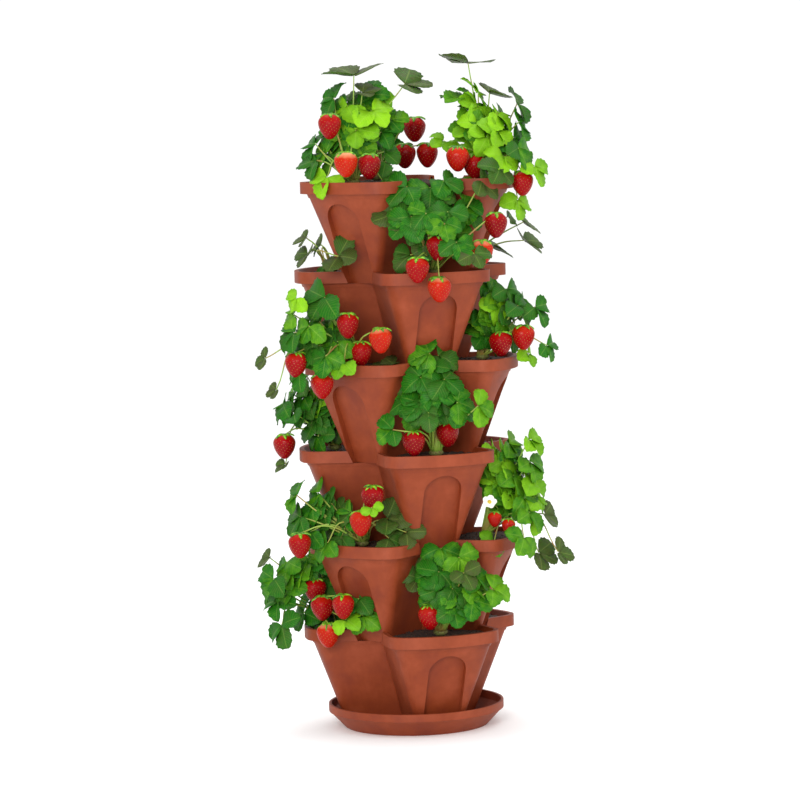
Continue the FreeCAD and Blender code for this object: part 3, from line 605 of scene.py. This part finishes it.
def berry_top(spot, sizes):
    return place_of(spot) + Vector((0, 0, sizes.berry_length * spot[3] / 2))


def grown_leaf(centre, scale, tone, light, plan, sizes, chance):
    """A leaf whose blades lie about a centre; high old leaves lie flatter."""
    flat = tone < OLD_TONE and centre.z > POT_HEIGHT + FLAT_ABOVE
    lean = OLD_LEAF_TILT + chance.uniform(-4, 8) if flat else LEAF_TILT + chance.uniform(-16, 16)
    reach = sizes.leaflet_length * scale
    for spot in plan.berries:
        centre = centre + covered(centre, light, reach, spot, sizes)
    axes = leaf_axes(centre, light, lean, chance.uniform(-28, 28))
    place = beside_berries(centre - axes[0] * 0.28 * reach, axes, reach, plan.berries, sizes)
    return Leaf(place, axes, scale, tone)


def grown_leaves(plan, light, sizes, chance):
    """A plant's outer leaves, and the smaller and younger ones between them."""
    leaves = [grown_leaf(place_of(spot), spot[3], spot[4], light, plan, sizes, chance)
              for spot in plan.leaves]
    if len(leaves) < 6:
        return leaves
    heart = Vector((CROWN_REACH, 0, POT_HEIGHT + 20 * MM))
    usual_tone = sum(leaf.tone for leaf in leaves) / len(leaves)
    outer = [leaf.place for leaf in leaves]
    for share, scale in INNER_RINGS:
        reach = sizes.leaflet_length * scale
        for first, second in zip(outer, outer[1:] + outer[:1]):
            middle = heart + share * ((first + second) / 2 - heart)
            in_the_way = [spot for spot in plan.berries
                          if covered(middle, light, reach, spot, sizes).length > 0]
            if middle.z > POT_HEIGHT + 32 * MM and not in_the_way:
                tone = usual_tone + chance.uniform(-0.15, 0.2)
                leaves.append(grown_leaf(middle, scale, tone, light, plan, sizes, chance))
    return leaves


def profile_radius(along):
    """A berry's radius at a share of its length from the calyx, 1 at the widest."""
    shoulder = sin(pi * min(0.5, (along + 0.06) * 1.25)) ** 0.55
    taper = cos(pi / 2 * max(0, (along - 0.3) / 0.72)) ** 0.6 if along < 1 else 0
    return shoulder * taper


def seed_spots(count):
    """Directions spread evenly over a ball, the calyx's end left bare."""
    spots = []
    for index in range(count):
        height = 0.82 - 1.78 * (index + 0.5) / count
        turn = index * pi * (3 - sqrt(5))
        ring = sqrt(max(0, 1 - height * height))
        spots.append(Vector((ring * cos(turn), ring * sin(turn), height)))
    return spots


def shaped_berry(direction, length, radius, lobes):
    """The berry's surface in a direction, its top at the origin."""
    along = acos(max(-1, min(1, direction.z))) / pi
    ring = Vector((direction.x, direction.y, 0))
    ring = ring.normalized() if ring.length > 1e-6 else ring
    swell = 1 + 0.035 * sin(lobes * atan2(direction.y, direction.x))
    return ring * (radius * profile_radius(along) * swell) + Vector((0, 0, -length * along))


def berry_mould(name, sizes, lobes, chance):
    """One full-size berry with its seeds and calyx, its top at the origin."""
    length, radius = sizes.berry_length, sizes.berry_radius
    berry = bmesh.new()
    ripe = berry.verts.layers.float.new("ripe")
    seeds = seed_spots(sizes.seeds)
    near_seeds = KDTree(len(seeds))
    for index, seed in enumerate(seeds):
        near_seeds.insert(seed, index)
    near_seeds.balance()
    axis = Vector((0, 0, -0.45 * length))
    for vert in bmesh.ops.create_icosphere(berry, subdivisions=5, radius=1.0)["verts"]:
        direction = vert.co.normalized()
        pit = max(0, 1 - near_seeds.find(direction)[2] / 0.12)
        surface = shaped_berry(direction, length, radius, lobes)
        vert[ripe] = -0.3 * max(0, direction.z) ** 2
        vert.co = surface + (axis - surface).normalized() * (0.55 * MM * pit ** 0.7)
    for seed in seeds:
        surface = shaped_berry(seed, length, radius, lobes)
        inward = (axis - surface).normalized()
        grain = bmesh.ops.create_icosphere(berry, subdivisions=1, radius=0.55 * MM)["verts"]
        turn = inward.to_track_quat("Z", "Y").to_matrix().to_4x4()
        shape = (Matrix.Translation(surface + inward * 0.35 * MM) @ turn
                 @ Matrix.Diagonal((0.75, 1.35, 0.5, 1)))
        bmesh.ops.transform(berry, matrix=shape, verts=grain)
        finish(faces_at(grain), 1)
    add_calyx(berry, radius, chance)
    for face in berry.faces:
        face.smooth = True
    return as_mesh(name, berry)


def add_calyx(berry, radius, chance):
    """Pointed sepals that spread over the berry's shoulders."""
    count = 10
    for index in range(count):
        length = radius * (0.95 if index % 2 else 0.72) * chance.uniform(0.9, 1.1)
        lift = chance.uniform(0.15, 0.5)
        grid = bmesh.ops.create_grid(berry, x_segments=6, y_segments=4, size=0.5)["verts"]
        for vert in grid:
            along, side = vert.co.x + 0.5, 2 * vert.co.y
            half = 0.2 * length * sin(pi * (0.25 + 0.75 * along)) ** 0.8 + 0.02 * length
            height = 0.6 * MM + length * (lift * along - 0.75 * along ** 2 * (1 - 0.4 * lift))
            height -= 0.15 * length * abs(side) ** 2
            vert.co = Vector((length * along, half * side, height))
        turn = Matrix.Rotation(FULL_TURN * index / count + chance.uniform(-0.1, 0.1), 4, "Z")
        bmesh.ops.transform(berry, matrix=turn, verts=grid)
        faces = list(faces_at(grid))
        finish(faces, 2)
        bmesh.ops.solidify(berry, geom=faces, thickness=0.3 * MM)


# What a user may change

def span(name, description, size):
    """A length in metres."""
    return FloatProperty(name=name, description=description, default=size, unit="LENGTH")


def tint(name, description, code):
    """A colour, given as it shows on screen."""
    return FloatVectorProperty(name=name, description=description, subtype="COLOR", size=4,
                               min=0, max=1, default=linear(code))


class TowerSizes(bpy.types.PropertyGroup):
    leaflet_length: span("Leaflet length", "Length of a leaflet's blade", 36 * MM)
    leaflet_width: span("Leaflet width", "Width of a leaflet's blade", 32 * MM)
    leaf_thickness: span("Leaf thickness", "Thickness of a leaf's blade", 0.45 * MM)
    teeth: IntProperty(name="Teeth", description="Teeth along each side of a leaflet", default=5)
    petiole_radius: span("Petiole radius", "Radius of a leaf's stalk", 1.25 * MM)
    berry_length: span("Berry length", "Length of a full-size berry", 34 * MM)
    berry_radius: span("Berry radius", "Largest radius of that berry", 15.5 * MM)
    seeds: IntProperty(name="Seeds", description="Seeds on each berry", default=96)
    petal_length: span("Petal length", "Length of a blossom's petal", 9 * MM)
    moulded_edge: span("Moulded edge", "Radius of the pots' edges", 0.9 * MM)
    crumb: span("Crumb", "Size of the potting mix's larger crumbs", 2.6 * MM)


class TowerColours(bpy.types.PropertyGroup):
    terracotta: tint("Terracotta", "The moulded plastic", "#803414")
    terracotta_pale: tint("Pale terracotta", "Its clouding and run marks", "#914124")
    terracotta_dark: tint("Dark terracotta", "Its darker clouds", "#722A11")
    # The mix's own dark brown, which the material also lays in the crumbs' hollows as painted
    # shade
    mix_dark_and_hollow_shade: tint("Dark mix", "Moist potting mix in its hollows", "#1A100A")
    mix_brown: tint("Brown mix", "Potting mix on its crumbs", "#4A3222")
    leaf_old: tint("Old leaf", "Olive leaves", "#3E4A20")
    leaf_mature: tint("Mature leaf", "Full-grown leaves", "#195F0D")
    leaf_young: tint("Young leaf", "Bright new leaves", "#80BA17")
    stalk: tint("Stalk", "Leaf and fruit stalks", "#83A63C")
    stalk_blush: tint("Blushed stalk", "Stalks in the sun", "#9A6A3A")
    berry_pale: tint("Unripe berry", "The palest flesh", "#EFC28A")
    berry_orange: tint("Half-ripe berry", "Turning fruit", "#B22406")
    berry_red: tint("Ripe berry", "Ripe fruit", "#90060A")
    berry_deep: tint("Deep berry", "The ripest fruit", "#6C040C")
    seed: tint("Seed", "Seeds on the fruit", "#AD7529")
    petal: tint("Petal", "Blossom petals", "#F6F3EC")
    floor: tint("Floor", "The studio floor", "#FFFFFF")


# Operators: one for each group of like pieces, and one for the stage

class DressingStep:
    """An operator that dresses one group of pieces."""

    def execute(self, context):
        self.dress(context.scene.tower_sizes, context.scene.tower_colours)
        return {"FINISHED"}


class PLANTER_OT_pots(DressingStep, bpy.types.Operator):
    """Dress the six stacking pots"""
    bl_idname = "planter.pots"
    bl_label = "Stacking pots"

    def dress(self, sizes, colours):
        skin = moulded_polypropylene("moulded_polypropylene", colours)
        for tier in range(1, TIERS + 1):
            cad_node = "pot_tier_%d" % tier
            pot = as_piece("stacking_pot_%d" % tier, merged_copy(cad_node), [skin],
                           "tier_%d" % tier, cad_node)
            soften(pot, sizes.moulded_edge)


class PLANTER_OT_saucer(DressingStep, bpy.types.Operator):
    """Dress the round saucer"""
    bl_idname = "planter.saucer"
    bl_label = "Saucer"

    def dress(self, sizes, colours):
        skin = moulded_polypropylene("saucer_polypropylene", colours)
        saucer = as_piece("round_saucer", merged_copy("saucer"), [skin], "saucer",
                          "saucer")
        soften(saucer, sizes.moulded_edge, sharp=20)


class PLANTER_OT_potting_mix(DressingStep, bpy.types.Operator):
    """Heap crumbly potting mix in every pot"""
    bl_idname = "planter.potting_mix"
    bl_label = "Potting mix"

    def dress(self, sizes, colours):
        earth = moist_potting_mix(colours.mix_dark_and_hollow_shade, colours.mix_brown)
        chance = random.Random(11)
        ball = bmesh.new()
        bmesh.ops.create_icosphere(ball, subdivisions=1, radius=1.0)
        crumb = as_mesh("crumb", ball)
        for tier in range(1, TIERS + 1):
            cad_node = "potting_mix_tier_%d" % tier
            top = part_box(cad_node)[1].z
            source = merged_copy(cad_node)
            spots = self.surface_spots(source, top, chance)
            bed = self.crumbly_bed(source, top)
            for place in spots:
                size = sizes.crumb * chance.uniform(0.4, 1.0)
                turn = Matrix.Rotation(chance.uniform(0, 6.28), 4,
                                       (chance.random(), chance.random(), chance.random() + 0.1))
                shape = (Matrix.Translation(place) @ turn
                         @ Matrix.Diagonal((size, size * chance.uniform(0.5, 0.9),
                                            size * chance.uniform(0.4, 0.8), 1)))
                first = len(bed.verts)
                bed.from_mesh(crumb)
                bed.verts.ensure_lookup_table()
                for vert in bed.verts[first:]:
                    vert.co = shape @ vert.co
            finish(bed.faces)
            as_piece("potting_mix_bed_%d" % tier, bed, [earth], "tier_%d" % tier,
                     cad_node)

    def surface_spots(self, source, top, chance):
        """Random points on the mix's upper face."""
        flat = [face for face in source.faces
                if face.normal.z > 0.95 and face.calc_center_median().z > top - 2 * MM]
        copy = bmesh.new()
        for face in flat:
            copy.faces.new([copy.verts.new(vert.co) for vert in face.verts])
        bmesh.ops.triangulate(copy, faces=copy.faces[:])
        areas = [face.calc_area() for face in copy.faces]
        spots = []
        for face in chance.choices(copy.faces[:], weights=areas, k=CRUMBS):
            a, b, c = (vert.co for vert in face.verts)
            first, second = sorted((chance.random(), chance.random()))
            spots.append(a * first + b * (second - first) + c * (1 - second))
        copy.free()
        return spots

    def crumbly_bed(self, source, top):
        """The mix's block, remeshed fine, its top heaved by noise."""
        mesh = as_mesh("bed", source)
        holder = in_scene("bed", mesh)
        remesh = holder.modifiers.new("fine", "REMESH")
        remesh.mode = "VOXEL"
        remesh.voxel_size = MIX_GRID
        bpy.context.view_layer.update()
        fine = holder.evaluated_get(bpy.context.evaluated_depsgraph_get())
        bed = bmesh.new()
        bed.from_mesh(fine.data)
        bpy.data.objects.remove(holder)
        bpy.data.meshes.remove(mesh)
        for vert in bed.verts:
            if vert.co.z > top - HEAVED_DEPTH:
                heave = noise.noise(vert.co / (9 * MM)) + 0.5 * noise.noise(vert.co / (4 * MM))
                vert.co.z += 1.6 * MM * heave
        return bed


class PLANTER_OT_foliage(DressingStep, bpy.types.Operator):
    """Grow the strawberry plants' crowns, stalks and leaves"""
    bl_idname = "planter.foliage"
    bl_label = "Strawberry foliage"

    def dress(self, sizes, colours):
        skins = (leaf_blade(colours.leaf_old, colours.leaf_mature, colours.leaf_young),
                 juicy_stalk(colours.stalk, colours.stalk_blush),
                 speckled("old_crown", linear("#5A4526"), linear("#6F7A35"), 0.003, 0.8))
        foot = Vector((CROWN_REACH, 0, POT_HEIGHT - MIX_DROP))
        for (tier, pocket), plan in PLANTS.items():
            chance = random.Random("%d %s" % (tier, pocket))
            plant = bmesh.new()
            layers = {"uv": plant.loops.layers.uv.new("blade"),
                      "tone": plant.verts.layers.float.new("tone")}
            to_pocket = pocket_turn(tier, pocket)
            light = to_pocket.to_3x3().inverted() @ LIGHT_FROM
            leaves = grown_leaves(plan, light, sizes, chance)
            for leaf in leaves:
                add_leaf(plant, layers, leaf, sizes, chance)
            bmesh.ops.solidify(plant, geom=plant.faces[:], thickness=sizes.leaf_thickness)
            ends = [leaf.place for leaf in leaves]
            ends += [berry_top(spot, sizes) for spot in plan.berries]
            if plan.blossom:
                ends.append(place_of(plan.blossom))
            add_stalks(plant, self.paths(foot, ends), sizes.petiole_radius)
            add_crown(plant, foot)
            bmesh.ops.recalc_face_normals(plant, faces=plant.faces[:])
            bmesh.ops.transform(plant, matrix=to_pocket, verts=plant.verts[:])
            as_piece("strawberry_foliage_%d_%s" % (tier, pocket), plant, skins,
                     "tier_%d" % tier, "strawberry_plant_tier_%d_%s" % (tier, pocket))

    def paths(self, foot, ends):
        """Stalks that arch to their ends. They leave the crown side by side, in
        the order of their directions."""
        ends = sorted(ends, key=lambda end: atan2(end.y, end.x - foot.x))
        step = FULL_TURN / len(ends)
        lag = sum(atan2(end.y, end.x - foot.x) for end in ends) / len(ends)
        paths = []
        for index, end in enumerate(ends):
            turn = lag + step * (index - (len(ends) - 1) / 2)
            start = foot + Vector((cos(turn), sin(turn), 0)) * (0.68 * CROWN_RADIUS)
            start.z += 0.6 * CROWN_HEIGHT
            rise = 10 * MM + 0.7 * max(0, POT_HEIGHT + 30 * MM - end.z)
            middle = (start + end) / 2 + Vector((0.28 * abs(end.y), 0, rise))
            paths.append((start, middle, end))
        return paths


class PLANTER_OT_berries(DressingStep, bpy.types.Operator):
    """Hang the strawberries"""
    bl_idname = "planter.berries"
    bl_label = "Strawberries"

    def dress(self, sizes, colours):
        skins = (ripe_fruit(colours.berry_pale, colours.berry_orange, colours.berry_red,
                            colours.berry_deep),
                 speckled("seed_coat", colours.seed, linear("#9C5F1E"), 0.002, 0.45),
                 speckled("sepal", colours.leaf_mature, colours.leaf_young, 0.004, 0.5))
        moulds = [berry_mould("berry_%d" % lobes, sizes, lobes, random.Random(lobes))
                  for lobes in (2, 3, 4)]
        for (tier, pocket), plan in PLANTS.items():
            if not plan.berries:
                continue
            chance = random.Random("fruit %d %s" % (tier, pocket))
            fruit = bmesh.new()
            ripe = fruit.verts.layers.float.new("ripe")
            for spot in plan.berries:
                first = len(fruit.verts)
                fruit.from_mesh(chance.choice(moulds))
                fruit.verts.ensure_lookup_table()
                verts = fruit.verts[first:]
                for vert in verts:
                    vert[ripe] += spot[4]
                place = (Matrix.Translation(berry_top(spot, sizes))
                         @ Matrix.Rotation(chance.uniform(0, 6.28), 4, "Z")
                         @ Matrix.Scale(spot[3], 4))
                bmesh.ops.transform(fruit, matrix=place, verts=verts)
            bmesh.ops.transform(fruit, matrix=pocket_turn(tier, pocket), verts=fruit.verts[:])
            as_piece("ripe_strawberries_%d_%s" % (tier, pocket), fruit, skins,
                     "tier_%d" % tier, "strawberries_tier_%d_%s" % (tier, pocket))


class PLANTER_OT_blossom(DressingStep, bpy.types.Operator):
    """Open the white blossom"""
    bl_idname = "planter.blossom"
    bl_label = "Blossom"

    def dress(self, sizes, colours):
        skins = (speckled("blossom_petal", colours.petal, linear("#EDE9DA"), 0.003, 0.55),
                 speckled("blossom_eye", linear("#D8C13A"), linear("#B99A22"), 0.001, 0.6))
        for (tier, pocket), plan in PLANTS.items():
            if not plan.blossom:
                continue
            seat = place_of(plan.blossom)
            facing = Vector((seat.x - CROWN_REACH, seat.y, 0)).normalized()
            tilt = radians(58)
            facing = facing * sin(tilt) + Vector((0, 0, cos(tilt)))
            place = (pocket_turn(tier, pocket) @ Matrix.Translation(seat + facing * 1.2 * MM)
                     @ facing.to_track_quat("Z", "Y").to_matrix().to_4x4())
            flower = self.flower(sizes.petal_length)
            bmesh.ops.transform(flower, matrix=place, verts=flower.verts[:])
            as_piece("white_blossom_%d_%s" % (tier, pocket), flower, skins,
                     "tier_%d" % tier, "blossom_tier_%d_%s" % (tier, pocket))

    def flower(self, length, petals=5):
        """Cupped petals about a knobbly eye."""
        flower = bmesh.new()
        for index in range(petals):
            grid = bmesh.ops.create_grid(flower, x_segments=10, y_segments=10, size=0.5)["verts"]
            for vert in grid:
                along, side = vert.co.x + 0.5, 2 * vert.co.y
                half = 0.55 * length * sin(pi * (0.1 + 0.8 * along)) ** 0.7
                height = 0.16 * length * (along ** 2 + 0.6 * side ** 2 * along)
                vert.co = Vector((length * (0.12 + along * (1 - 0.12 * side ** 2)),
                                  half * side, height + 0.2 * MM * (index % 2)))
            turn = Matrix.Rotation(FULL_TURN * index / petals, 4, "Z")
            bmesh.ops.transform(flower, matrix=turn, verts=grid)
        bmesh.ops.solidify(flower, geom=flower.faces[:], thickness=0.35 * MM)
        finish(flower.faces)
        eye = bmesh.ops.create_icosphere(flower, subdivisions=4, radius=1.0)["verts"]
        for vert in eye:
            knobs = 1 + 0.12 * sin(14 * vert.co.x) * sin(14 * vert.co.y)
            vert.co = vert.co * knobs * 0.3 * length
            vert.co.z = 0.7 * vert.co.z + 0.8 * MM
        finish(faces_at(eye), 1)
        return flower


class PLANTER_OT_stage(bpy.types.Operator):
    """Set the floor, the soft lights and the camera"""
    bl_idname = "planter.stage"
    bl_label = "Studio stage"

    def execute(self, context):
        scene = context.scene
        pale = scene.tower_colours.floor
        ground = bmesh.new()
        bmesh.ops.create_grid(ground, x_segments=1, y_segments=1, size=30.0)
        skin = speckled("studio_floor", pale, pale, 0.05, 0.9)
        in_scene("studio_floor", as_mesh("studio_floor", ground, [skin]))
        self.light("key", (-2.2, -3.7, 1.5), 1.6, 104)
        self.light("fill", (3.2, -2.6, 1.7), 2.6, 30)
        self.light("crown", (0.2, 0.6, 3.4), 2.4, 36)
        world = bpy.data.worlds.new("pale_studio")
        world.use_nodes = True
        sky = world.node_tree.nodes["Background"]
        sky.inputs["Color"].default_value = linear("#FFFFFF")
        sky.inputs["Strength"].default_value = 1.05
        scene.world = world
        scene.view_settings.view_transform = "Standard"
        scene.camera = self.camera()
        return {"FINISHED"}

    def light(self, name, place, size, power):
        """A round soft light, turned to about the middle of the tower."""
        lamp = bpy.data.lights.new(name, "AREA")
        lamp.shape = "DISK"
        lamp.size = size
        lamp.energy = power
        holder = in_scene(name, lamp)
        holder.location = place
        aim = Vector((0, 0, LIT_HEIGHT)) - Vector(place)
        holder.rotation_euler = aim.to_track_quat("-Z", "Y").to_euler()

    def camera(self):
        camera = bpy.data.cameras.new("photo_view")
        camera.sensor_width = 36
        camera.lens = LENS
        camera.clip_end = 60
        holder = in_scene("photo_view", camera)
        bearing = radians(CAMERA_BEARING)
        holder.location = (CAMERA_DISTANCE * cos(bearing),
                           CAMERA_DISTANCE * sin(bearing), CAMERA_HEIGHT)
        right = Vector((-sin(bearing), cos(bearing), 0))
        target = Vector((0, 0, AIM_HEIGHT)) - right * AIM_ASIDE
        look = (target - holder.location).to_track_quat("-Z", "Y").to_matrix().to_4x4()
        roll = Matrix.Rotation(radians(CAMERA_ROLL), 4, "Z")
        holder.rotation_euler = (look @ roll).to_euler()
        return holder


STEPS = (PLANTER_OT_pots, PLANTER_OT_saucer, PLANTER_OT_potting_mix, PLANTER_OT_foliage,
         PLANTER_OT_berries, PLANTER_OT_blossom, PLANTER_OT_stage)


class PLANTER_PT_panel(bpy.types.Panel):
    """Lists the tower's steps, sizes and colours"""
    bl_idname = "PLANTER_PT_panel"
    bl_label = "Planter Tower"
    bl_space_type = "VIEW_3D"
    bl_region_type = "UI"
    bl_category = "Planter Tower"

    def draw(self, context):
        for step in STEPS:
            self.layout.operator(step.bl_idname)
        for group in (context.scene.tower_sizes, context.scene.tower_colours):
            box = self.layout.box()
            for name in group.__annotations__:
                box.prop(group, name)


CLASSES = (TowerSizes, TowerColours) + STEPS + (PLANTER_PT_panel,)


def register():
    for item in CLASSES:
        bpy.utils.register_class(item)
    bpy.types.Scene.tower_sizes = PointerProperty(type=TowerSizes)
    bpy.types.Scene.tower_colours = PointerProperty(type=TowerColours)


def unregister():
    del bpy.types.Scene.tower_sizes
    del bpy.types.Scene.tower_colours
    for item in reversed(CLASSES):
        bpy.utils.unregister_class(item)


def main():
    register()
    bpy.ops.planter.pots()
    bpy.ops.planter.saucer()
    bpy.ops.planter.potting_mix()
    bpy.ops.planter.foliage()
    bpy.ops.planter.berries()
    bpy.ops.planter.blossom()
    bpy.ops.planter.stage()


if __name__ == "__main__":
    main()
